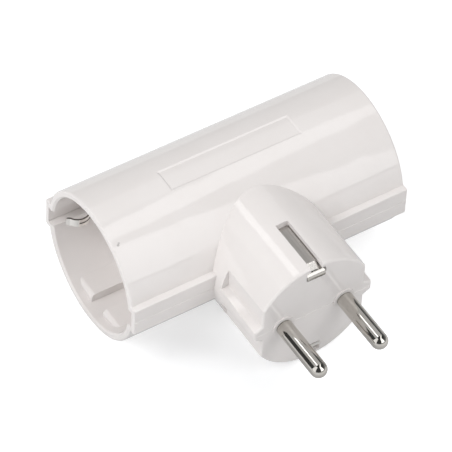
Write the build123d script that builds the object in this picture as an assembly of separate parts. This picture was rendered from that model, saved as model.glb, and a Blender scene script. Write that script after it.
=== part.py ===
"""Two-way socket adapter: an earthed two-pin plug with a tube across its back and a socket at each end.

Millimetres. The origin is the middle of the plug face.
The pins point along -Y, the tube lies along X and +Z is up.
"""
import os

from build123d import *

# Plug pins and how the plug fits a socket of the same standard
pin_radius = 2.4
pin_spacing = 19.0
pin_length = 19.5
pin_edge = 8.85  # from a pin's axis to the plug's rim
socket_play = 1.15  # gap between a plug and the recess around it
recess_depth = 17.5

# Body
tube_length = 86.0
tube_wall = 2.1
plug_reach = 43.1  # from the plug face to the tube's axis
face_wall = 4.0
face_round = 0.7
mouth_round = 0.6
mouth_lead = 0.5
parting_groove = 0.15
label_length = 40.0
label_height = 6.6
label_depth = 0.25
label_slope = 0.5  # width of the panel's sloping sides

# Rails along the tube, hollow inside for the earth parts
rail_width = 9.4
rail_wall = 1.5
rail_round = 0.35
channel_width = 5.8
channel_depth = 2.0

# Notches in the plug's sides, the tapered rib in each, and the cheeks in the sockets that run in them
notch_depth = 2.35
notch_length = 17.0
notch_round = 0.5
rib_root_front = 2.8
rib_root_back = 2.85
rib_tip_front = 0.9
rib_tip_back = 2.3
cheek_play = 0.6
cheek_setback = 2.7
cheek_lead = 1.3
groove_play = 0.15

# Pins: slimmer shank through the collar on the face, flange behind the face wall, riveted tail
shank_step = 0.2
shank_lead = 0.3
collar_width = 0.8
collar_rise = 0.4
flange_width = 1.2
flange_thickness = 2.0
cradle_thickness = 2.5
tail_radius = 1.5
tail_head_radius = 2.3
tail_head_height = 0.9
tail_gap = 4.8  # from the link on the pin's tail to the front earth bar

# Earth strips on the plug
strip_width = 5.6
strip_thickness = 0.8
strip_proud = 0.2
slot_width = 3.4
slot_length = 17.0
slot_depth = 1.75
slot_draft = 6.0  # degrees
hook_drop = 2.9
hook_bend = 1.5
slope_length = 3.2
slope_drop = 1.1
strip_bend = 0.9

# Socket bases
base_thickness = 3.0
base_seat = 0.9
hole_play = 0.3
hole_lead = 0.5
boss_wall = 1.7
boss_length = 2.8

# Live and neutral contacts, links and rivets
sheet = 0.8
sleeve_play = 0.05
sleeve_length = 12.4
sleeve_slit = 0.8
bar_width = 6.0
link_width = 5.0
link_bend = 1.2
link_play = 0.25
link_gap = 0.5  # from a link's strap to the earth strips' legs
rivet_radius = 1.2
rivet_head_radius = 2.0
rivet_head_height = 0.6
spring_width = 3.0
spring_thickness = 0.6

# Earth bars, clips and cross strap
earth_play = 0.3
earth_overlap = 1.5
clip_thickness = 0.5
clip_play = 0.4
clip_tip_inset = 2.7
clip_tip_stand = 2.55
clip_knee_inset = 3.7
clip_knee_stand = 3.15
clip_contact_inset = 6.5
clip_contact_stand = 7.3
clip_rise_inset = 13.5
clip_knee_bend = 0.8
clip_contact_bend = 3.4
clip_rise_bend = 1.5
clip_tip_round = 0.7
clip_slit = 0.5
clip_slit_start = 5.5
clip_slit_end = 12.0
strap_width = 5.0
strap_foot = 2.4
strap_bend = 1.0

# Seat between two pieces that touch
seat = 0.05
over = 1.0  # how far a cutting shape runs past the surface it cuts

# Sizes that follow from the ones above
pin_x = pin_spacing / 2
shank_radius = pin_radius - shank_step
plug_radius = pin_x + pin_edge
recess_radius = plug_radius + socket_play
tube_radius = recess_radius + tube_wall
channel_radius = recess_radius + channel_depth
rail_reach = channel_radius + rail_wall
half_tube = tube_length / 2
floor_x = half_tube - recess_depth
base_back_x = floor_x - base_thickness
sleeve_inner = pin_radius + sleeve_play
sleeve_outer = sleeve_inner + sheet
notch_x = plug_radius - notch_depth
cheek_z = notch_x + cheek_play
groove_half = rib_root_back + groove_play
strip_top = plug_radius - slot_depth
strip_middle = strip_top - strip_thickness / 2
strip_leg_y = plug_reach - channel_radius - strip_thickness / 2
slope_foot = strip_middle - slope_drop
hook_y = strip_thickness / 2 - strip_proud
hook_end = strip_top - hook_drop
bar_inner = channel_radius - sheet
link_y = plug_reach - channel_radius - tail_gap - sheet
bar_z = pin_x + sleeve_inner
link_top = bar_z + 2 * sheet
strap_x = strip_width / 2 + link_gap + link_width / 2
chamber_x = notch_x - tube_wall
chamber_z = strip_top - strip_thickness - tube_wall
cradle_y = face_wall + flange_thickness


def block(x_range, y_range, z_range):
    """A box between two values on each axis."""
    low, high = zip(x_range, y_range, z_range)
    size = [b - a for a, b in zip(low, high)]
    middle = [(a + b) / 2 for a, b in zip(low, high)]
    return Pos(*middle) * Box(*size)


def both_ways(half):
    """The range from minus a half size to the half size."""
    return (-half, half)


def round_x(radius, x_range, z=0.0):
    """A cylinder along the tube's direction, on the tube's axis or above or below it."""
    start, end = x_range
    return Pos((start + end) / 2, plug_reach, z) * Rot(0, 90, 0) * Cylinder(radius, end - start)


def round_y(radius, y_range, x=0.0):
    """A cylinder along the plug's direction."""
    start, end = y_range
    return Pos(x, (start + end) / 2, 0) * Rot(90, 0, 0) * Cylinder(radius, end - start)


def sheet_strip(plane, points, bends, thickness, width):
    """A bent strip of sheet metal: a path with rounded corners, given thickness and width."""
    path = FilletPolyline(*points, radius=bends)
    return plane * extrude(trace(path, thickness), width / 2, both=True)


def notch(side):
    """The space cut in one side of the plug, with a tapered rib left standing in it."""
    outside = plug_radius + over
    x_range = sorted((side * notch_x, side * outside))

    def rib_section(y, root, tip):
        """The rib's outline at one place along the plug."""
        upper = [(side * notch_x, root), (side * outside, tip)]
        lower = [(x, -z) for x, z in reversed(upper)]
        return Plane.XZ.offset(-y) * make_face(Polyline(*upper, *lower, close=True))

    rib = loft([
        rib_section(0, rib_root_front, rib_tip_front),
        rib_section(notch_length, rib_root_back, rib_tip_back),
    ])
    return block(x_range, (0, notch_length), both_ways(plug_radius)) - rib


def plug_outside():
    """The plug's round body with its side notches and a rounded face edge."""
    plug = round_y(plug_radius, (0, plug_reach))
    for side in (-1, 1):
        plug -= notch(side)
    along = plug.edges().filter_by(lambda edge: edge.length > notch_length / 2)
    roots = along.filter_by(lambda edge: abs(edge.center().Z) < 2 * rib_root_back)
    roots = roots.filter_by(lambda edge: abs(edge.center().X) < notch_x + notch_round)
    plug = fillet(roots, notch_round)
    rim = plug.faces().sort_by(Axis.Y)[0].outer_wire().edges()
    plug = fillet(rim, face_round)
    for side in (-1, 1):
        plug += round_y(pin_radius + collar_width, (-collar_rise, face_wall / 2), side * pin_x)
    return plug


def tube_outside():
    """The tube with a flat rail along its front and back."""
    rail_y = (plug_reach - rail_reach, plug_reach + rail_reach)
    rails = block(both_ways(half_tube), rail_y, both_ways(rail_width / 2))
    rails = fillet(rails.edges(), rail_round)
    tube = round_x(tube_radius, both_ways(half_tube))
    tube = fillet(tube.edges().filter_by(GeomType.CIRCLE), mouth_round)
    return tube + rails


def cheeks(side):
    """The raised guides above and below in one recess, each split by a groove for a plug's rib."""
    start, end = side * floor_x, side * (half_tube - cheek_setback)
    top = recess_radius + over
    guides = []
    for up in (-1, 1):
        corners = [(start, up * cheek_z), (end, up * cheek_z), (end, up * top), (start, up * top)]
        outline = make_face(FilletPolyline(*corners, radius=[0, cheek_lead, 0, 0], close=True))
        guides.append(Pos(0, plug_reach, 0) * extrude(Plane.XZ * outline, recess_radius, both=True))
    y_groove = (plug_reach - groove_half, plug_reach + groove_half)
    groove = block(sorted((start, end)), y_groove, both_ways(top))
    return guides[0] + guides[1] - groove


def recess(side):
    """The space inside one socket, from its mouth to its floor, round the guides."""
    space = round_x(recess_radius, sorted((side * floor_x, side * half_tube))) - cheeks(side)
    lead = Cone(recess_radius, recess_radius + mouth_lead, mouth_lead)
    space += Pos(side * (half_tube - mouth_lead / 2), plug_reach, 0) * Rot(0, side * 90, 0) * lead
    base_x = sorted((side * (base_back_x - seat), side * (floor_x + seat)))
    return space + round_x(recess_radius + base_seat, base_x)


def inner_space():
    """The room inside the body for the pins, contacts and earth bars."""
    space = round_x(recess_radius, both_ways(base_back_x))
    y_range = (face_wall, plug_reach)
    half_link = link_width / 2 + link_play
    chamber = block(both_ways(chamber_x), y_range, both_ways(chamber_z))
    chamber &= round_y(plug_radius - tube_wall, y_range)
    chamber += block(both_ways(strap_x + half_link), y_range, both_ways(link_top + link_play))
    chamber += block(both_ways(pin_x + half_link), y_range, both_ways(half_link))
    cradle = block(both_ways(plug_radius), (cradle_y, cradle_y + cradle_thickness), both_ways(plug_radius))
    space += chamber - cradle
    for side in (-1, 1):
        pin_x_here = side * pin_x
        space += round_y(shank_radius + seat, (-over, link_y), pin_x_here)
        space += round_y(pin_radius + flange_width + seat, (face_wall, cradle_y), pin_x_here)
    channel_y = (plug_reach - channel_radius, plug_reach + channel_radius)
    return space + block(both_ways(half_tube), channel_y, both_ways(channel_width / 2))


def earth_strip(thickness=strip_thickness, width=strip_width, extra=0.0):
    """The bent earth strip in the top of the plug, or with a play added, the room cut for it."""
    points = [
        (hook_y, hook_end - extra),
        (hook_y, slope_foot),
        (slope_length, strip_middle),
        (strip_leg_y, strip_middle),
        (strip_leg_y, seat - extra),
    ]
    return sheet_strip(Plane.YZ, points, [hook_bend, strip_bend, strip_bend], thickness, width)


def strip_seat():
    """The tapered slot that shows an earth strip, the pocket for its hook, and the strip's own room."""
    length = slot_length + over
    opening = Pos(0, length / 2 - over, strip_middle) * Rectangle(slot_width, length)
    slot = extrude(opening, plug_radius + over - strip_middle, taper=-slot_draft)
    roof = strip_top + seat
    corners = [
        (-over, hook_end), (hook_y, hook_end), (hook_y, slope_foot),
        (slope_length, strip_middle), (slope_length, roof), (-over, roof),
    ]
    outline = make_face(Polyline(*corners, close=True))
    pocket = Plane.YZ * extrude(outline, strip_width / 2 + seat, both=True)
    room = earth_strip(strip_thickness + 2 * seat, strip_width + 2 * seat, seat)
    return slot + pocket + room


def parting_grooves():
    """The fine line where the shells meet, across the plug face and along both rails."""
    side = parting_groove * 2 ** 0.5
    bar = Rot(45, 0, 0) * Box(1, side, side)
    places = [(both_ways(plug_radius), 0), (both_ways(half_tube), plug_reach + rail_reach)]
    for end in (-1, 1):
        places.append((sorted((end * plug_radius, end * half_tube)), plug_reach - rail_reach))
    grooves = []
    for (start, stop), y in places:
        grooves.append(Pos((start + stop) / 2, y, 0) * scale(bar, by=(stop - start, 1, 1)))
    return grooves


def label_panel():
    """A shallow bare panel on top of the tube, with sides that slope up to the surface."""
    floor = tube_radius - label_depth
    rise = label_depth + over
    spread = rise * label_slope / label_depth
    half_length = label_length / 2
    right = [(half_length, floor), (half_length + spread, floor + rise)]
    left = [(-x, radius) for x, radius in reversed(right)]
    ring = revolve(make_face(Polyline(*right, *left, close=True)), Axis.X)
    foot_y = label_height / 2
    foot_z = (floor ** 2 - foot_y ** 2) ** 0.5
    top_y = (foot_y * (floor + rise) + foot_z * spread) / floor
    top_z = (foot_z * (floor + rise) - foot_y * spread) / floor
    front = [(-foot_y, foot_z), (-top_y, top_z)]
    back = [(-y, z) for y, z in reversed(front)]
    window = Plane.YZ * extrude(make_face(Polyline(*front, *back, close=True)), tube_length, both=True)
    return Pos(0, plug_reach, 0) * (ring & window)


def shells():
    """The two moulded halves of the body, parted at the middle."""
    top_seat = strip_seat()
    body = tube_outside() + plug_outside() - inner_space() - top_seat - mirror(top_seat, Plane.XY)
    for side in (-1, 1):
        body -= recess(side)
    for groove in parting_grooves():
        body -= groove
    x_range = both_ways(tube_length)
    y_range = (-plug_reach, 2 * plug_reach)
    upper = body & block(x_range, y_range, (0, 2 * tube_radius))
    lower = body & block(x_range, y_range, (-2 * tube_radius, 0))
    return upper - label_panel(), lower


def socket_base(side):
    """The floor of one socket: a disc with pin holes, bosses behind and gaps for the earth clips."""
    front, back = side * floor_x, side * base_back_x
    disc_radius = recess_radius + base_seat - seat
    base = round_x(disc_radius, sorted((front, back)))
    boss_end = side * (base_back_x - boss_length)
    for up in (-1, 1):
        z = up * pin_x
        base += round_x(sleeve_outer + seat + boss_wall, sorted((back, boss_end)), z)
        base -= round_x(sleeve_outer + seat, sorted((back, boss_end)), z)
        base -= round_x(pin_radius + hole_play, sorted((front, back)), z)
        lead = Cone(pin_radius + hole_play, pin_radius + hole_play + hole_lead, hole_lead)
        base -= Pos(front - side * hole_lead / 2, plug_reach, z) * Rot(0, side * 90, 0) * lead
    gap_depth = bar_inner - clip_thickness - seat
    for way in (-1, 1):
        y_range = sorted((plug_reach + way * gap_depth, plug_reach + way * (disc_radius + over)))
        base -= block(sorted((front, back)), y_range, both_ways(channel_width / 2))
    return base


def plug_pin(side):
    """A turned pin: domed tip, slimmer shank, flange, and a tail riveted over behind the link."""
    tip = -pin_length
    neck = -collar_rise - shank_lead
    tail = link_y + sheet
    head = tail + tail_head_height
    flange = pin_radius + flange_width
    dome = RadiusArc((0, tip), (pin_radius, tip + pin_radius), -pin_radius)
    outline = Polyline(
        (pin_radius, tip + pin_radius), (pin_radius, neck), (shank_radius, neck + shank_step),
        (shank_radius, face_wall + seat), (flange, face_wall + seat), (flange, cradle_y - seat),
        (shank_radius, cradle_y - seat), (shank_radius, link_y), (tail_radius, link_y),
        (tail_radius, tail), (tail_head_radius, tail), (tail_radius, head), (0, head), (0, tip),
    )
    return Pos(side * pin_x, 0, 0) * revolve(make_face(dome + outline), Axis.Y)


def contact(up):
    """A stamped bar that links both sockets, rolled into a split sleeve at each end."""
    bar_end = base_back_x - boss_length - seat
    y_range = (plug_reach - bar_width / 2, plug_reach + bar_width / 2)
    bar = block(both_ways(bar_end), y_range, sorted((up * bar_z, up * (bar_z + sheet))))
    for side in (-1, 1):
        sleeve_x = sorted((side * base_back_x, side * (base_back_x - sleeve_length)))
        bar += round_x(sleeve_outer, sleeve_x, up * pin_x)
    for side in (-1, 1):
        sleeve_x = sorted((side * base_back_x, side * (base_back_x - sleeve_length)))
        bar -= round_x(sleeve_inner, sleeve_x, up * pin_x)
        slit_y = (plug_reach - sleeve_slit / 2, plug_reach + sleeve_slit / 2)
        bar -= block(sleeve_x, slit_y, sorted((up * (pin_x - sleeve_outer - over), up * pin_x)))
    return bar - rivet_shank(up)


def sleeve_spring(side, up):
    """A steel ring that holds a rolled sleeve closed, open where the bar passes."""
    middle = side * (base_back_x - (boss_length + sleeve_length) / 2)
    x_range = (middle - spring_width / 2, middle + spring_width / 2)
    z = up * pin_x
    inner = sleeve_outer + seat
    ring = round_x(inner + spring_thickness, x_range, z) - round_x(inner, x_range, z)
    outside = inner + spring_thickness + over
    gap_y = (plug_reach - outside, plug_reach + outside)
    return ring - block(x_range, gap_y, sorted((up * (bar_z - seat), up * (pin_x + outside))))


def rivet_shank(up):
    """The straight part of the rivet through a bar and its link."""
    z = up * (bar_z + sheet)
    return Pos(0, plug_reach, z) * Cylinder(rivet_radius, 2 * sheet)


def rivet(up):
    """A rivet with a low domed head on each side."""
    shank = rivet_shank(up)
    head = Cone(rivet_head_radius, rivet_radius, rivet_head_height)
    offset_z = sheet + rivet_head_height / 2
    for way in (-1, 1):
        place = Pos(0, plug_reach, up * (bar_z + sheet) + way * offset_z)
        turn = Rot(0, 0, 0) if way > 0 else Rot(180, 0, 0)
        shank += place * turn * head
    return shank


def link(side, up):
    """The strap from a pin's tail over to the middle of its contact bar."""
    strap_z = up * (link_top - sheet / 2)
    leg_y = link_y + sheet / 2
    strap_end = plug_reach + bar_width / 2
    points = [(leg_y, -up * link_width / 2), (leg_y, strap_z), (strap_end, strap_z)]
    strap = Pos(side * strap_x, 0, 0) * sheet_strip(Plane.YZ, points, [link_bend], sheet, link_width)
    tab_x = sorted((side * strap_x, -side * link_width / 2))
    tab_y = (plug_reach - bar_width / 2, strap_end)
    strap += block(tab_x, tab_y, sorted((up * (link_top - sheet), up * link_top)))
    foot_x = sorted((side * strap_x, side * (pin_x + link_width / 2)))
    strap += block(foot_x, (link_y, link_y + sheet), both_ways(link_width / 2))
    return strap - round_y(tail_radius, (link_y, link_y + sheet), side * pin_x) - rivet_shank(up)


def earth_bar(way):
    """A strip in one rail, from socket to socket, that carries the clips."""
    y_range = sorted((plug_reach + way * bar_inner, plug_reach + way * channel_radius))
    return block(both_ways(floor_x + earth_overlap), y_range, both_ways(channel_width / 2 - earth_play))


def earth_clip(side, way):
    """A slit, bowed spring in one socket, its free end near the mouth and its tail on the earth bar."""
    tail = bar_inner - clip_thickness / 2
    profile = [
        (clip_tip_inset, recess_radius - clip_tip_stand),
        (clip_knee_inset, recess_radius - clip_knee_stand),
        (clip_contact_inset, recess_radius - clip_contact_stand),
        (clip_rise_inset, tail),
        (recess_depth + base_thickness, tail),
    ]
    points = [(side * (half_tube - inset), plug_reach + way * reach) for inset, reach in profile]
    bends = [clip_knee_bend, clip_contact_bend, clip_rise_bend]
    spring = sheet_strip(Plane.XY, points, bends, clip_thickness, slot_width - 2 * clip_play)
    corners = spring.edges().filter_by(lambda edge: abs(edge.length - clip_thickness) < seat)
    spring = fillet(corners.sort_by(Axis.X, reverse=side > 0)[:2], clip_tip_round)
    slit_x = sorted(side * (half_tube - inset) for inset in (clip_slit_start, clip_slit_end))
    slit_y = sorted((plug_reach, plug_reach + way * recess_radius))
    return spring - block(slit_x, slit_y, both_ways(clip_slit / 2))


def earth_cross_strap():
    """A strap through the middle of the tube that joins the front and back earth bars."""
    reach = bar_inner - sheet / 2
    points = [
        (plug_reach - reach, -strap_foot),
        (plug_reach - reach, 0),
        (plug_reach + reach, 0),
        (plug_reach + reach, strap_foot),
    ]
    return sheet_strip(Plane.YZ, points, [strap_bend, strap_bend], sheet, strap_width)


def adapter():
    """Every piece of the adapter by name."""
    pieces = {}
    pieces["upper_shell"], pieces["lower_shell"] = shells()
    sides = {"left": -1, "right": 1}
    levels = {"upper": 1, "lower": -1}
    ways = {"front": -1, "back": 1}
    for side_name, side in sides.items():
        pieces[f"socket_base_{side_name}"] = socket_base(side)
        pieces[f"plug_pin_{side_name}"] = plug_pin(side)
        for level_name, up in levels.items():
            pieces[f"sleeve_spring_{side_name}_{level_name}"] = sleeve_spring(side, up)
        for way_name, way in ways.items():
            pieces[f"earth_clip_{side_name}_{way_name}"] = earth_clip(side, way)
    for way_name, way in ways.items():
        pieces[f"earth_bar_{way_name}"] = earth_bar(way)
    for pole, side, up in (("live", -1, 1), ("neutral", 1, -1)):
        pieces[f"{pole}_contact"] = contact(up)
        pieces[f"{pole}_link"] = link(side, up)
        pieces[f"{pole}_rivet"] = rivet(up)
    pieces["plug_earth_strip_top"] = earth_strip()
    pieces["plug_earth_strip_bottom"] = mirror(earth_strip(), Plane.XY)
    pieces["earth_cross_strap"] = earth_cross_strap()
    return pieces


os.makedirs("parts", exist_ok=True)
for name, piece in adapter().items():
    export_step(piece, f"parts/{name}.step")
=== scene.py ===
"""Looks of a white two-way socket adapter: finishes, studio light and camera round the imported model.

Sizes and places are metres in the model's own frame: X along the tube, the pins to the front at -Y, Z up.
A RANGE is where a smooth step starts and ends. A STRETCH multiplies a pattern's three coordinates, and a
SCALE all of them alike. A DULLING is how much of a pattern is added to the roughness.
"""
import math

import bmesh
import bpy
from mathutils import Matrix, Vector

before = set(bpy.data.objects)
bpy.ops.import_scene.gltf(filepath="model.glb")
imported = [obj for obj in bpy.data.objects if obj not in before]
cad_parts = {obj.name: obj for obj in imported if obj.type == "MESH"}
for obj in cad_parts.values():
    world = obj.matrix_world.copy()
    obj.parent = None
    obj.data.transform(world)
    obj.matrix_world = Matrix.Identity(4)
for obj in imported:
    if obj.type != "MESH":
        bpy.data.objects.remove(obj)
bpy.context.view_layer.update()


def piece_box(name):
    """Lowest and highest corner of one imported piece."""
    points = [vertex.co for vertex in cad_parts[name].data.vertices]
    low = Vector([min(point[axis] for point in points) for axis in range(3)])
    high = Vector([max(point[axis] for point in points) for axis in range(3)])
    return low, high


# Camera, fitted to the photograph
EYE = Vector((-0.39394, -0.53289, 0.78570))
LOOK = Vector((0.37275, 0.54483, -0.75115)).normalized()
IMAGE_UP = Vector((0.37866, 0.64971, 0.65916)).normalized()
SENSOR = 36.0  # millimetres
FOCAL_PIXELS = 3900.0
PHOTO_PIXELS = 452.0

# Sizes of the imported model: the tube's axis lies in the middle of a socket's floor
BASE_LOW, BASE_HIGH = piece_box("socket_base_left")
TUBE_AXIS = Vector((0.0, (BASE_LOW.y + BASE_HIGH.y) / 2, 0.0))
TUBE_RADIUS = piece_box("upper_shell")[1].z
STRIP_TOP = piece_box("plug_earth_strip_top")[1].z

# The adapter lies on its tube and on the plug's lower edge, so the table leans a little
TABLE_LEAN = math.radians(4.47)
TABLE_UP = Vector((0.0, math.sin(TABLE_LEAN), math.cos(TABLE_LEAN)))
TABLE_FOOT = TUBE_AXIS - TABLE_UP * TUBE_RADIUS

# Dark specks, the first three dirt, the last three painted shade in the gaps round the strips' hooks:
# place, half sizes and depth of tone
SPECKS = [
    ((-0.04110, 0.03205, 0.01855), (0.00040, 0.00034, 0.00034), 0.40),
    ((-0.04070, 0.03240, 0.01878), (0.00036, 0.00032, 0.00032), 0.30),
    ((-0.04020, 0.03520, -0.01680), (0.00030, 0.00022, 0.00030), 0.45),
    ((0.0, 0.0, -0.01355), (0.00300, 0.00040, 0.00016), 0.45),
    ((-0.00290, 0.0003, 0.01470), (0.00016, 0.00070, 0.00100), 0.60),
    ((0.00290, 0.0003, 0.01530), (0.00020, 0.00070, 0.00080), 0.70),
]
SPECK_TONE = (0.10, 0.095, 0.085, 1.0)
SPECK_RANGE = (0.75, 1.15)
RAGGED_SCALE = 1.6
RAGGED_SHARE = 0.9

# Painted shade beside the earth strips, for the shadowed gap between strip and wall: where it lies along
# the plug, its half width and its height on the walls
GAP_SHADE_TONE = (0.10, 0.075, 0.06, 1.0)
GAP_DEPTH = 0.85
GAP_FRONT_RANGE = (0.0, 0.0040)
GAP_BACK_RANGE = (0.0166, 0.0169)
GAP_WIDTH_RANGE = (0.0024, 0.0027)
GAP_HEIGHT_RANGE = (STRIP_TOP + 0.0003, STRIP_TOP + 0.0008)

# Moulded plastic
SHELL_TONES = ((0.835, 0.800, 0.785, 1.0), (0.815, 0.778, 0.760, 1.0))
BASE_TONES = ((0.820, 0.785, 0.770, 1.0), (0.800, 0.763, 0.745, 1.0))
SHELL_ROUGHNESS = 0.04
BASE_ROUGHNESS = 0.14
PLASTIC_IOR = 1.5
CLOUD_SCALE = 55.0
CLOUD_RANGE = (0.3, 0.75)
GRAIN_SCALE = 1400.0
GRAIN_DULLING = 0.02
SMEAR_STRETCH = (30.0, 120.0, 120.0)
SMEAR_DULLING = 0.05
SINK_STRETCH = (1.0, 1.6, 1.6)
SINK_SCALE = 48.0
SINK_DEPTH = 0.00022
PEEL_SCALE = 620.0
PEEL_SHARE = 0.03

# Polished pins
PIN_TONES = ((0.63, 0.61, 0.575, 1.0), (0.56, 0.535, 0.495, 1.0))
PIN_ROUGHNESS = 0.04
RING_STRETCH = (20.0, 5200.0, 20.0)
RING_SHARE = 0.45
SCRATCH_STRETCH = (2600.0, 45.0, 2600.0)
SCRATCH_SHARE = 0.55
SCRATCH_RANGE = (0.55, 0.8)
SCRATCH_DULLING = 0.08
HAZE_SCALE = 260.0
HAZE_RANGE = (0.35, 0.75)
HAZE_DULLING = 0.05
PIN_MARK_DEPTH = 0.000006

# Sheet metal
STRAP_TONES = ((0.56, 0.54, 0.51, 1.0), (0.47, 0.45, 0.42, 1.0))
CLIP_TONES = ((0.90, 0.88, 0.85, 1.0), (0.82, 0.80, 0.77, 1.0))
BRASS_TONES = ((0.80, 0.60, 0.28, 1.0), (0.66, 0.47, 0.20, 1.0))
STEEL_TONES = ((0.42, 0.42, 0.44, 1.0), (0.33, 0.33, 0.35, 1.0))
STRAP_ROUGHNESS = 0.30
CLIP_ROUGHNESS = 0.05
BRASS_ROUGHNESS = 0.24
STEEL_ROUGHNESS = 0.30
ROLLED_ALONG_TUBE = (50.0, 2400.0, 2400.0)
ROLLED_ALONG_PLUG = (2400.0, 50.0, 2400.0)
LINE_DEPTH = 0.000012
LINE_DULLING = 0.12
STAIN_SCALE = 170.0
STAIN_RANGE = (0.35, 0.8)
STAIN_DULLING = 0.08
CUT_TONE = (0.20, 0.19, 0.175, 1.0)
CUT_RANGE = (0.5, 0.8)
CUT_DULLING = 0.25

# Earth strips of the plug: the hook, in a painted tone (darker on the top strip as painted shade, far
# brighter on the lower one as painted light), the bright slope behind it, and the wiped part from there on
HOOK_TONE = (0.56, 0.54, 0.51, 1.0)
LOWER_HOOK_PAINTED_LIGHT_TONE = (0.95, 0.93, 0.90, 1.0)
SLOPE_TONES = ((0.74, 0.72, 0.69, 1.0), (0.66, 0.64, 0.605, 1.0))
WIPED_TONES = ((0.60, 0.575, 0.55, 1.0), (0.52, 0.495, 0.47, 1.0))
STRIP_ROUGHNESS = 0.15
LOWER_STRIP_ROUGHNESS = 0.55
HOOK_RANGE = (0.0006, 0.0012)
WIPED_RANGE = (0.0028, 0.0036)
WIPED_DULLING = 0.08
WIPE_STRETCH = (2600.0, 60.0, 2600.0)
WIPE_RANGE = (0.3, 0.7)
STRIP_STAIN_SCALE = 210.0
STRIP_STAIN_DULLING = 0.05
STRIP_STAIN_SHARE = 0.08
STRIP_MARK_DEPTH = 0.000010

# Directions
ALONG_X = Vector((1.0, 0.0, 0.0))
ALONG_Y = Vector((0.0, 1.0, 0.0))
ALONG_Z = Vector((0.0, 0.0, 1.0))

# Lamps, which face the adapter's middle: bearing from the front and height in degrees, and level
MIDDLE = Vector((0.0, 0.03, 0.0))
LAMP_SIDE = 0.5
LAMP_REACH = 0.9
LAMP_TURN = Vector((0.31, 0.52, 0.11))  # one side of each square
LAMPS = [
    ("lamp_left", -90.0, 46.0, 4.8),
    ("lamp_front_right", 35.0, 45.0, 2.15),
]

# Levels of the sky's light, the dark room, the sweep behind, the ceiling and the right wall
AMBIENT = 0.55
ROOM = 0.06
SWEEP = 0.40
CEILING = 0.60
RIGHT_WALL = 0.35

# Panels that show in the gloss: place, facing, direction of the long side, length and width, and level
PANELS = [
    ("panel_over_right", (0.307, -0.079, 1.0), -ALONG_Z, Vector((0.5, 0.866, 0.0)), (0.87, 0.21), 2.0),
    ("panel_over_back", (-0.172, 0.65, 1.0), -ALONG_Z, ALONG_Y, (0.70, 0.200), 3.0),
    ("panel_front", (0.0775, -0.207, 0.2865), ALONG_Y, ALONG_Z, (0.487, 0.169), 2.0),
    ("panel_left", (-0.36, -0.005, 0.375), ALONG_X, ALONG_Z, (0.75, 0.30), 1.2),
]

# Walls and a lid, at the room's level higher up: way from the middle, direction along, and level
FLAG_REACH = 2.0
FLAG_HEIGHT = 2.2
FLAG_SIDE = 4.8
FLAG_RANGE = (0.0, 1.6)
FLAGS = [
    ("flag_front", -ALONG_Y * FLAG_REACH, ALONG_X, ROOM),
    ("flag_back", ALONG_Y * FLAG_REACH, ALONG_X, SWEEP),
    ("flag_left", -ALONG_X * FLAG_REACH, ALONG_Y, ROOM),
    ("flag_right", ALONG_X * FLAG_REACH, ALONG_Y, RIGHT_WALL),
    ("flag_over", ALONG_Z * FLAG_HEIGHT, ALONG_X, ROOM),
]
CEILING_PLACE = Vector((0.0, 2.6, 2.0))
CEILING_SIDE = 4.0

# Table: its tone, and its glow near the shadow in front of the tube (weaker there, as painted shadow),
# further out (stronger, as painted light over the real shadows), and just behind the tube
TABLE_SIDE = 6.0
TABLE_TONE = (0.79, 0.80, 0.81, 1.0)
PAINTED_SHADOW_SPOT = (-0.035, -0.004, -0.018)
PAINTED_SHADOW_RANGE = (0.023, 0.038)
BACK_START_RANGE = (0.060, 0.085)
BACK_END_RANGE = (0.25, 0.45)
NEAR_GLOW = 0.27
FAR_GLOW = 0.57
BACK_GLOW = 0.37

# The card that reflections show as the table, a painted reflection with a painted shadow: its rise above
# it, and its greys by distance from the plug
TABLE_CARD_RISE = 0.001
TABLE_CARD_SIDE = 4.0
PLUG_SPOT = (0.0, 0.020, -0.019)
PLUG_RANGE = (0.030, 0.080)
NEAR_GREY = 0.50
FAR_GREY = 0.85

# Strength of the sheets that only glow in sight: so faint that no light is looked for on them
FAINT = 0.4

# Colour of the sky, and of a sheet that gives no light
WHITE = (1.0, 1.0, 1.0, 1.0)
BLACK = (0.0, 0.0, 0.0, 1.0)


class Wire:
    """A shader socket that takes part in plain arithmetic; each step adds a Math node."""

    def __init__(self, finish, socket):
        self.finish = finish
        self.socket = socket

    def math(self, operation, first, second):
        """One Math node on two wires, or on a wire and a number."""
        return self.finish.add("ShaderNodeMath", {"operation": operation}, {0: first, 1: second})

    def __add__(self, other):
        return self.math("ADD", self, other)

    def __radd__(self, other):
        return self.math("ADD", other, self)

    def __sub__(self, other):
        return self.math("SUBTRACT", self, other)

    def __rsub__(self, other):
        return self.math("SUBTRACT", other, self)

    def __mul__(self, other):
        return self.math("MULTIPLY", self, other)

    def __rmul__(self, other):
        return self.math("MULTIPLY", other, self)


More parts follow.
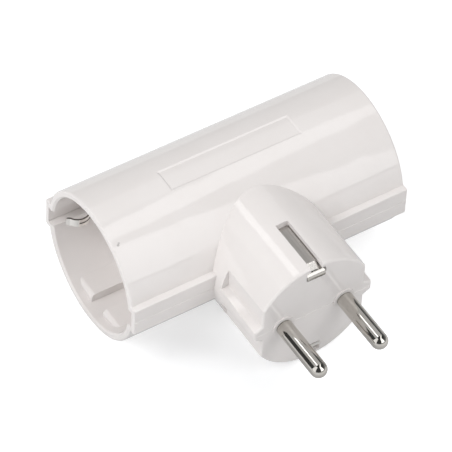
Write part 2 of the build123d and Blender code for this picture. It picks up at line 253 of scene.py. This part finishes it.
class Finish:
    """The nodes of their owner, which is a new material or the sky."""

    def __init__(self, owner):
        owner.use_nodes = True
        self.owner = owner
        self.tree = owner.node_tree

    def add(self, kind, settings=None, sockets=None, out=0):
        """Makes one node: its settings first, then the values or links of its sockets."""
        node = self.tree.nodes.new(kind)
        for name, value in (settings or {}).items():
            setattr(node, name, value)
        for name, value in (sockets or {}).items():
            self.plug(node.inputs[name], value)
        return Wire(self, node.outputs[out])

    def plug(self, socket, value):
        """Links a Wire to a socket, or writes a plain value on it."""
        if isinstance(value, Wire):
            self.tree.links.new(value.socket, socket)
        else:
            socket.default_value = value

    def shade(self, **sockets):
        """Fills in the main shader's sockets."""
        shader = self.tree.nodes["Principled BSDF"]
        for name, value in sockets.items():
            self.plug(shader.inputs[name.replace("_", " ")], value)

    def show(self, shader):
        """Puts another shader in place of the main one."""
        self.tree.nodes.remove(self.tree.nodes["Principled BSDF"])
        self.plug(self.tree.nodes["Material Output"].inputs["Surface"], shader)

    def place(self, stretch=(1.0, 1.0, 1.0), shift=(0.0, 0.0, 0.0)):
        """The piece's own coordinates in metres, stretched and shifted."""
        own = self.add("ShaderNodeTexCoord", out="Object")
        sockets = {"Vector": own, "Scale": stretch, "Location": shift}
        return self.add("ShaderNodeMapping", {"vector_type": "POINT"}, sockets)

    def axis(self, vector, name):
        """One of a vector's three parts."""
        return self.add("ShaderNodeSeparateXYZ", {}, {0: vector}, out=name)

    def length(self, vector):
        """A vector's length."""
        return self.add("ShaderNodeVectorMath", {"operation": "LENGTH"}, {0: vector}, out="Value")

    def noise(self, where, scale=1.0, detail=2.0, roughness=0.5):
        """Soft cloudy variation from 0 to 1."""
        sockets = {"Vector": where, "Scale": scale, "Detail": detail, "Roughness": roughness}
        return self.add("ShaderNodeTexNoise", {"noise_dimensions": "3D"}, sockets, out="Fac")

    def fine_noise(self, where, scale=1.0):
        """Cloudy variation with more small detail."""
        return self.noise(where, scale, detail=4.0, roughness=0.6)

    def fade(self, value, low, high, start=0.0, end=1.0):
        """A smooth step from start to end as the value goes from low to high."""
        sockets = {"Value": value, "From Min": low, "From Max": high, "To Min": start, "To Max": end}
        return self.add("ShaderNodeMapRange", {"interpolation_type": "SMOOTHSTEP"}, sockets)

    def fade_out(self, value, low, high):
        """A smooth step from 1 to 0 as the value goes from low to high."""
        return self.fade(value, low, high, start=1.0, end=0.0)

    def blend(self, factor, first, second):
        """Mixes two colours, by the node's seventh and eighth sockets and its third way out."""
        settings = {"data_type": "RGBA", "clamp_factor": True}
        return self.add("ShaderNodeMix", settings, {0: factor, 6: first, 7: second}, out=2)

    def bump(self, height, distance):
        """A bump from a height of about 0 to 1, with the distance in metres."""
        return self.add("ShaderNodeBump", {}, {"Height": height, "Distance": distance})


def speck_mask(finish, place, half_sizes):
    """1 inside one small irregular spot, 0 outside it."""
    stretch = tuple(1.0 / size for size in half_sizes)
    shift = tuple(-value / size for value, size in zip(place, half_sizes))
    spot = finish.place(stretch, shift)
    ragged = finish.noise(spot, RAGGED_SCALE, detail=3.0)
    return finish.fade_out(finish.length(spot) + (ragged - 0.5) * RAGGED_SHARE, *SPECK_RANGE)


def strip_gap_shade(finish):
    """1 along the foot of the walls beside both earth strips, 0 elsewhere: painted shade for the shadowed
    gap between strip and wall.
    """
    own = finish.place()
    across, along, height = (finish.axis(own, name) for name in "XYZ")
    low = finish.fade_out(height * height, *(value ** 2 for value in GAP_HEIGHT_RANGE))
    narrow = finish.fade_out(across * across, *(value ** 2 for value in GAP_WIDTH_RANGE))
    front = finish.fade(along, *GAP_FRONT_RANGE)
    back = finish.fade_out(along, *GAP_BACK_RANGE)
    return low * narrow * front * back


def moulded_plastic(name, tones, roughness, dirt_and_shade=False):
    """Glossy moulded plastic: cloudy tone, orange peel and slow sink marks that bend its reflections."""
    finish = Finish(bpy.data.materials.new(name))
    own = finish.place()
    cloud = finish.fine_noise(own, CLOUD_SCALE)
    grain = finish.noise(own, GRAIN_SCALE)
    colour = finish.blend(finish.fade(cloud, *CLOUD_RANGE), *tones)
    if dirt_and_shade:
        # Specks: the first three are dirt; the last three, round the strips' hooks, are painted shade.
        for place, half_sizes, depth in SPECKS:
            colour = finish.blend(speck_mask(finish, place, half_sizes) * depth, colour, SPECK_TONE)
        # Painted shade: the dark line in the gaps beside the earth strips.
        colour = finish.blend(strip_gap_shade(finish) * GAP_DEPTH, colour, GAP_SHADE_TONE)
    smear = finish.noise(finish.place(SMEAR_STRETCH), detail=3.0)
    sink = finish.noise(finish.place(SINK_STRETCH), SINK_SCALE, detail=1.0)
    peel = finish.noise(own, PEEL_SCALE, detail=1.0)
    wavy = finish.bump(sink + peel * PEEL_SHARE, SINK_DEPTH)
    dulled = roughness + smear * SMEAR_DULLING + grain * GRAIN_DULLING
    finish.shade(Base_Color=colour, Roughness=dulled, Normal=wavy, IOR=PLASTIC_IOR)
    return finish.owner


def polished_pin(name):
    """Nickel plate on a turned pin: faint turning rings and the long scratches of use."""
    finish = Finish(bpy.data.materials.new(name))
    rings = finish.noise(finish.place(RING_STRETCH))
    scratches = finish.noise(finish.place(SCRATCH_STRETCH), detail=4.0, roughness=0.65)
    haze = finish.noise(finish.place(), HAZE_SCALE, detail=3.0)
    colour = finish.blend(finish.fade(haze, *HAZE_RANGE), *PIN_TONES)
    marks = finish.bump(rings * RING_SHARE + scratches * SCRATCH_SHARE, PIN_MARK_DEPTH)
    worn = finish.fade(scratches, *SCRATCH_RANGE)
    dulled = PIN_ROUGHNESS + haze * HAZE_DULLING + worn * SCRATCH_DULLING
    finish.shade(Base_Color=colour, Metallic=1.0, Roughness=dulled, Normal=marks)
    return finish.owner


def cut_edges(finish):
    """1 on a clip's cut edges, which face up and down, 0 on its broad sides."""
    upright = finish.axis(finish.add("ShaderNodeTexCoord", out="Normal"), "Z")
    return finish.fade(upright * upright, *CUT_RANGE)


def rolled_sheet(name, tones, stretch, roughness, bare_edges=False):
    """Sheet metal with the fine lines of rolling, and dark cut edges where those are bare."""
    finish = Finish(bpy.data.materials.new(name))
    lines = finish.fine_noise(finish.place(stretch))
    stain = finish.fine_noise(finish.place(), STAIN_SCALE)
    colour = finish.blend(finish.fade(stain, *STAIN_RANGE), *tones)
    dulled = roughness + lines * LINE_DULLING + stain * STAIN_DULLING
    if bare_edges:
        cut = cut_edges(finish)
        colour = finish.blend(cut, colour, CUT_TONE)
        dulled = dulled + cut * CUT_DULLING
    marks = finish.bump(lines, LINE_DEPTH)
    finish.shade(Base_Color=colour, Metallic=1.0, Roughness=dulled, Normal=marks)
    return finish.owner


def wiped_strip(name, painted_hook_tone, roughness):
    """An earth strip: its hook in a painted tone of its own (painted shade on the top strip, painted light
    on the lower one), bright on the slope behind it, dulled where contacts wipe along it.
    """
    finish = Finish(bpy.data.materials.new(name))
    along = finish.axis(finish.place(), "Y")
    worn = finish.fade(along, *WIPED_RANGE)
    lines = finish.fine_noise(finish.place(WIPE_STRETCH))
    stain = finish.fine_noise(finish.place(), STRIP_STAIN_SCALE)
    slope = finish.blend(finish.fade(stain, *STAIN_RANGE), *SLOPE_TONES)
    plate = finish.blend(finish.fade(along, *HOOK_RANGE), painted_hook_tone, slope)
    wiped = finish.blend(finish.fade(lines, *WIPE_RANGE), *WIPED_TONES)
    colour = finish.blend(worn, plate, wiped)
    marks = finish.bump(lines * worn + stain * STRIP_STAIN_SHARE, STRIP_MARK_DEPTH)
    dulled = roughness + stain * STRIP_STAIN_DULLING + worn * (lines * LINE_DULLING + WIPED_DULLING)
    finish.shade(Base_Color=colour, Metallic=1.0, Roughness=dulled, Normal=marks)
    return finish.owner


def dress_all():
    """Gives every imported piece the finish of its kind, by the first words of its name."""
    shell = moulded_plastic("shell_white", SHELL_TONES, SHELL_ROUGHNESS, dirt_and_shade=True)
    base = moulded_plastic("base_white", BASE_TONES, BASE_ROUGHNESS)
    pin = polished_pin("pin_nickel")
    # Painted shade: the top strip's hook is toned darker than the slope behind it.
    strip = wiped_strip("strip_plated", HOOK_TONE, STRIP_ROUGHNESS)
    # Painted light: the lower strip's hook is toned far brighter than the top one's, for the white table it
    # reflects.
    lower_strip = wiped_strip("lower_strip_plated", LOWER_HOOK_PAINTED_LIGHT_TONE, LOWER_STRIP_ROUGHNESS)
    strap = rolled_sheet("strap_plated", STRAP_TONES, ROLLED_ALONG_PLUG, STRAP_ROUGHNESS)
    clip = rolled_sheet("clip_plated", CLIP_TONES, ROLLED_ALONG_TUBE, CLIP_ROUGHNESS, bare_edges=True)
    brass = rolled_sheet("contact_brass", BRASS_TONES, ROLLED_ALONG_TUBE, BRASS_ROUGHNESS)
    steel = rolled_sheet("ring_steel", STEEL_TONES, ROLLED_ALONG_TUBE, STEEL_ROUGHNESS)
    kinds = {
        "upper_shell": shell,
        "lower_shell": shell,
        "socket_base": base,
        "plug_pin": pin,
        "plug_earth_strip_top": strip,
        "plug_earth_strip_bottom": lower_strip,
        "earth_clip": clip,
        "earth_bar": clip,
        "earth_cross_strap": strap,
        "live": brass,
        "neutral": brass,
        "sleeve_spring": steel,
    }
    for node_name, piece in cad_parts.items():
        start = next(kind for kind in kinds if node_name.startswith(kind))
        piece.data.materials.clear()
        piece.data.materials.append(kinds[start])


def aim(position, target, along):
    """A lamp's or card's place, facing the target, with its long side along a direction."""
    back = (position - target).normalized()
    long_side = (along - back * along.dot(back)).normalized()
    turned = Matrix((long_side, back.cross(long_side), back)).transposed().to_4x4()
    turned.translation = position
    return turned


def soft_lamp(name, turn, height, level):
    """A square soft lamp at a bearing and a height in degrees. No reflection shows it."""
    bearing = math.radians(turn)
    rise = math.radians(height)
    out = math.cos(rise)
    way = Vector((math.sin(bearing) * out, -math.cos(bearing) * out, math.sin(rise)))
    lamp = bpy.data.lights.new(name, "AREA")
    lamp.size = LAMP_SIDE
    lamp.energy = level * math.pi * LAMP_SIDE * LAMP_SIDE
    holder = bpy.data.objects.new(name, lamp)
    holder.matrix_world = aim(MIDDLE + way * LAMP_REACH, MIDDLE, LAMP_TURN)
    holder.visible_camera = False
    holder.visible_glossy = False
    bpy.context.collection.objects.link(holder)


def sheet_object(name, size, place, material):
    """A flat rectangle of the studio: table or card."""
    shape = bmesh.new()
    bmesh.ops.create_grid(shape, x_segments=1, y_segments=1, size=0.5)
    bmesh.ops.scale(shape, vec=(*size, 1.0), verts=shape.verts)
    bmesh.ops.transform(shape, matrix=place, verts=shape.verts)
    mesh = bpy.data.meshes.new(name)
    shape.to_mesh(mesh)
    shape.free()
    mesh.materials.append(material)
    flat = bpy.data.objects.new(name, mesh)
    bpy.context.collection.objects.link(flat)
    return flat


def mirror_card(name, size, place, material):
    """A card that only reflections show, to give gloss and metal a studio's bright and dark parts."""
    card = sheet_object(name, size, place, material)
    card.visible_camera = False
    card.visible_diffuse = False
    card.visible_shadow = False
    card.visible_transmission = False


def seen_directly(finish):
    """1 for what the camera sees straight, in a mirror or through glass, 0 for light on its way."""
    path = "ShaderNodeLightPath"
    straight = finish.add(path, out="Is Camera Ray") + finish.add(path, out="Is Glossy Ray")
    return straight + finish.add(path, out="Is Transmission Ray")


def glow_grey(level):
    """The colour that shows as one level of grey at the faint strength that glowing sheets share."""
    tone = level / FAINT
    return (tone, tone, tone, 1.0)


def glow(finish, colour):
    """The faint light of a sheet that only glows in sight."""
    return finish.add("ShaderNodeEmission", {}, {"Color": colour, "Strength": FAINT})


def distance_from(finish, spot):
    """Distance from a spot in the model's frame."""
    return finish.length(finish.place(shift=tuple(-value for value in spot)))


def table_finish(name):
    """White table: a matt sheet, with the last bit of white added only for what is seen, weaker in front of
    the plug as painted shadow and stronger further out as painted light over the real shadows.
    """
    finish = Finish(bpy.data.materials.new(name))
    far = finish.fade(distance_from(finish, PAINTED_SHADOW_SPOT), *PAINTED_SHADOW_RANGE)
    white = finish.blend(far, glow_grey(NEAR_GLOW), glow_grey(FAR_GLOW))
    along = finish.axis(finish.place(), "Y")
    behind = finish.fade(along, *BACK_START_RANGE) * finish.fade_out(along, *BACK_END_RANGE)
    white = finish.blend(behind, white, glow_grey(BACK_GLOW))
    lit = glow(finish, finish.blend(seen_directly(finish), BLACK, white))
    matt = finish.add("ShaderNodeBsdfDiffuse", {}, {"Color": TABLE_TONE})
    finish.show(finish.add("ShaderNodeAddShader", {}, {0: matt, 1: lit}))
    return finish.owner


def reflected_table(name):
    """The table as gloss and metal show it, a painted reflection: grey near the plug as painted shadow and
    whiter further out.
    """
    finish = Finish(bpy.data.materials.new(name))
    far = finish.fade(distance_from(finish, PLUG_SPOT), *PLUG_RANGE)
    finish.show(glow(finish, finish.blend(far, glow_grey(NEAR_GREY), glow_grey(FAR_GREY))))
    return finish.owner


def card_finish(name, level, top_level):
    """A studio card of one grey, or of a grey that changes further up."""
    finish = Finish(bpy.data.materials.new(name))
    high = finish.fade(finish.axis(finish.place(), "Z"), *FLAG_RANGE)
    finish.show(glow(finish, finish.blend(high, glow_grey(level), glow_grey(top_level))))
    return finish.owner


def lay_table():
    """The table that the adapter lies on."""
    place = aim(TABLE_FOOT, TABLE_FOOT - TABLE_UP, ALONG_X)
    sheet_object("table", (TABLE_SIDE, TABLE_SIDE), place, table_finish("table_white"))


def hang_sky(scene):
    """An even sky, white to the eye and weaker as light."""
    sky = Finish(bpy.data.worlds.new("studio_sky"))
    background = sky.tree.nodes["Background"].inputs
    sky.plug(background["Strength"], AMBIENT + seen_directly(sky) * (1.0 - AMBIENT))
    sky.plug(background["Color"], WHITE)
    scene.world = sky.owner


def set_cards():
    """Bright panels, walls and a ceiling for the reflections, and the card that stands in for the table,
    with a painted shadow.
    """
    for name, spot, facing, along, size, level in PANELS:
        at = Vector(spot)
        mirror_card(name, size, aim(at, at + facing, along), card_finish(name, level, level))
    for name, way, along, level in FLAGS:
        place = aim(MIDDLE + way, MIDDLE, along)
        mirror_card(name, (FLAG_SIDE, FLAG_SIDE), place, card_finish(name, level, ROOM))
    place = aim(CEILING_PLACE, CEILING_PLACE - ALONG_Z, ALONG_X)
    grey = card_finish("ceiling", CEILING, CEILING)
    mirror_card("ceiling", (CEILING_SIDE, CEILING_SIDE), place, grey)
    above = TABLE_FOOT + TABLE_UP * TABLE_CARD_RISE
    place = aim(above, above - TABLE_UP, ALONG_X)
    mirror_card("table_reflection_card", (TABLE_CARD_SIDE, TABLE_CARD_SIDE), place, reflected_table("table_reflection_card"))


def set_camera(scene):
    """The camera that took the photograph."""
    lens = bpy.data.cameras.new("camera")
    lens.sensor_width = SENSOR
    lens.sensor_fit = "HORIZONTAL"
    lens.lens = SENSOR * FOCAL_PIXELS / PHOTO_PIXELS
    camera = bpy.data.objects.new("camera", lens)
    right = LOOK.cross(IMAGE_UP).normalized()
    up = right.cross(LOOK)
    camera.matrix_world = Matrix((right, up, -LOOK)).transposed().to_4x4()
    camera.location = EYE
    bpy.context.collection.objects.link(camera)
    scene.camera = camera


def studio():
    """Table, sky, lamps, cards and the camera."""
    scene = bpy.context.scene
    scene.view_settings.view_transform = "Standard"
    lay_table()
    hang_sky(scene)
    for lamp in LAMPS:
        soft_lamp(*lamp)
    set_cards()
    set_camera(scene)


dress_all()
studio()
